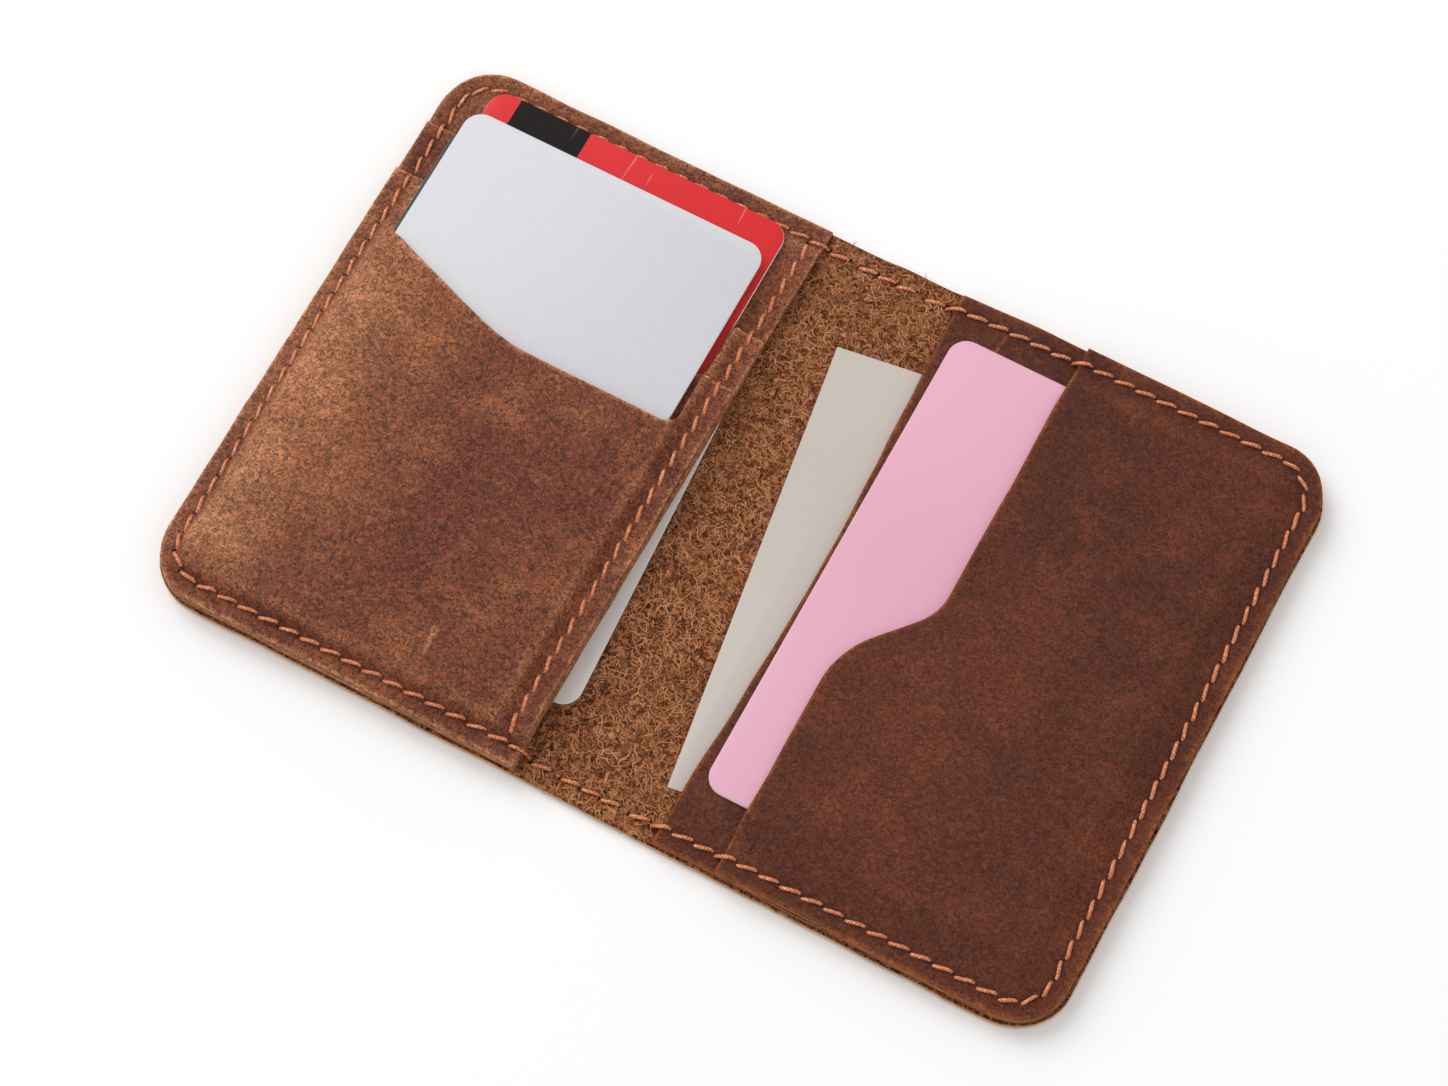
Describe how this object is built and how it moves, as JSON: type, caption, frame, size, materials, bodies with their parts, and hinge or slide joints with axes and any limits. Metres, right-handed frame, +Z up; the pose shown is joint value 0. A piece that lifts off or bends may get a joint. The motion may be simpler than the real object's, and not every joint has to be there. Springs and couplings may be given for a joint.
{
  "type": "bifold wallet",
  "caption": "Open bifold leather wallet with stitched slip pockets and cards in them, folding shut across a flat spine.",
  "frame": {"origin": "middle of the open wallet's outline, on its underside", "axes": "+X across the fold to the half with one pocket, +Y to the top edge that the upright cards stand out towards, +Z up from the table"},
  "size_m": [0.157, 0.104, 0.008],
  "materials": {
    "cover_leather": "pull-up leather, flesh side inward",
    "panel_leather": "waxed pull-up leather, worn at the edges",
    "thread": "waxed thread",
    "silver_card": "satin with fine fleck",
    "green_card": "satin",
    "red_card": "gloss",
    "stripe": "satin",
    "white_card": "satin",
    "pink_card": "satin",
    "slip": "matt card stock"
  },
  "bodies": {
    "left_half": {"cover_left": "cover_leather", "left_backing_panel": "panel_leather", "rear_card_pocket": "panel_leather", "front_card_pocket": "panel_leather", "left_inner_stitches": "thread", "left_outer_stitches": "thread", "pocket_seam_stitches": "thread"},
    "spine": {"cover_spine": "cover_leather", "spine_inner_stitches": "thread", "spine_outer_stitches": "thread"},
    "right_half": {"cover_right": "cover_leather", "right_base_panel": "panel_leather", "right_pocket": "panel_leather", "right_inner_stitches": "thread", "right_outer_stitches": "thread", "grey_slip": "slip"},
    "silver_card": {"silver_card": "silver_card"},
    "green_card": {"green_card": "green_card"},
    "red_card": {"red_card": "red_card", "magnetic_stripe": "stripe"},
    "white_card": {"white_card": "white_card"},
    "pink_card": {"pink_card": "pink_card"}
  },
  "joints": [
    {"name": "spine_fold", "type": "hinge", "parent": "left_half", "child": "spine", "pos_m": [-0.00595, 0, 0.0012], "axis": [0, -1, 0], "range_deg": [0, 90]},
    {"name": "right_fold", "type": "hinge", "parent": "spine", "child": "right_half", "pos_m": [0.00595, 0, 0.0012], "axis": [0, -1, 0], "range_deg": [0, 90], "deforming": ["grey_slip"]},
    {"name": "silver_card_slide", "type": "slide", "parent": "left_half", "child": "silver_card", "axis": [0, 1, 0], "range_m": [0, 0.0603]},
    {"name": "green_card_slide", "type": "slide", "parent": "left_half", "child": "green_card", "axis": [0, 1, 0], "range_m": [0, 0.0637]},
    {"name": "red_card_slide", "type": "slide", "parent": "left_half", "child": "red_card", "axis": [0, 1, 0], "range_m": [0, 0.0643]},
    {"name": "white_card_slide", "type": "slide", "parent": "left_half", "child": "white_card", "axis": [-1, 0, 0], "range_m": [-0.0203, 0]},
    {"name": "pink_card_slide", "type": "slide", "parent": "right_half", "child": "pink_card", "axis": [1, 0, 0], "range_m": [-0.0257, 0]}
  ],
  "couplings": [
    {"joint": "right_fold", "follows": "spine_fold", "ratio": 1}
  ]
}
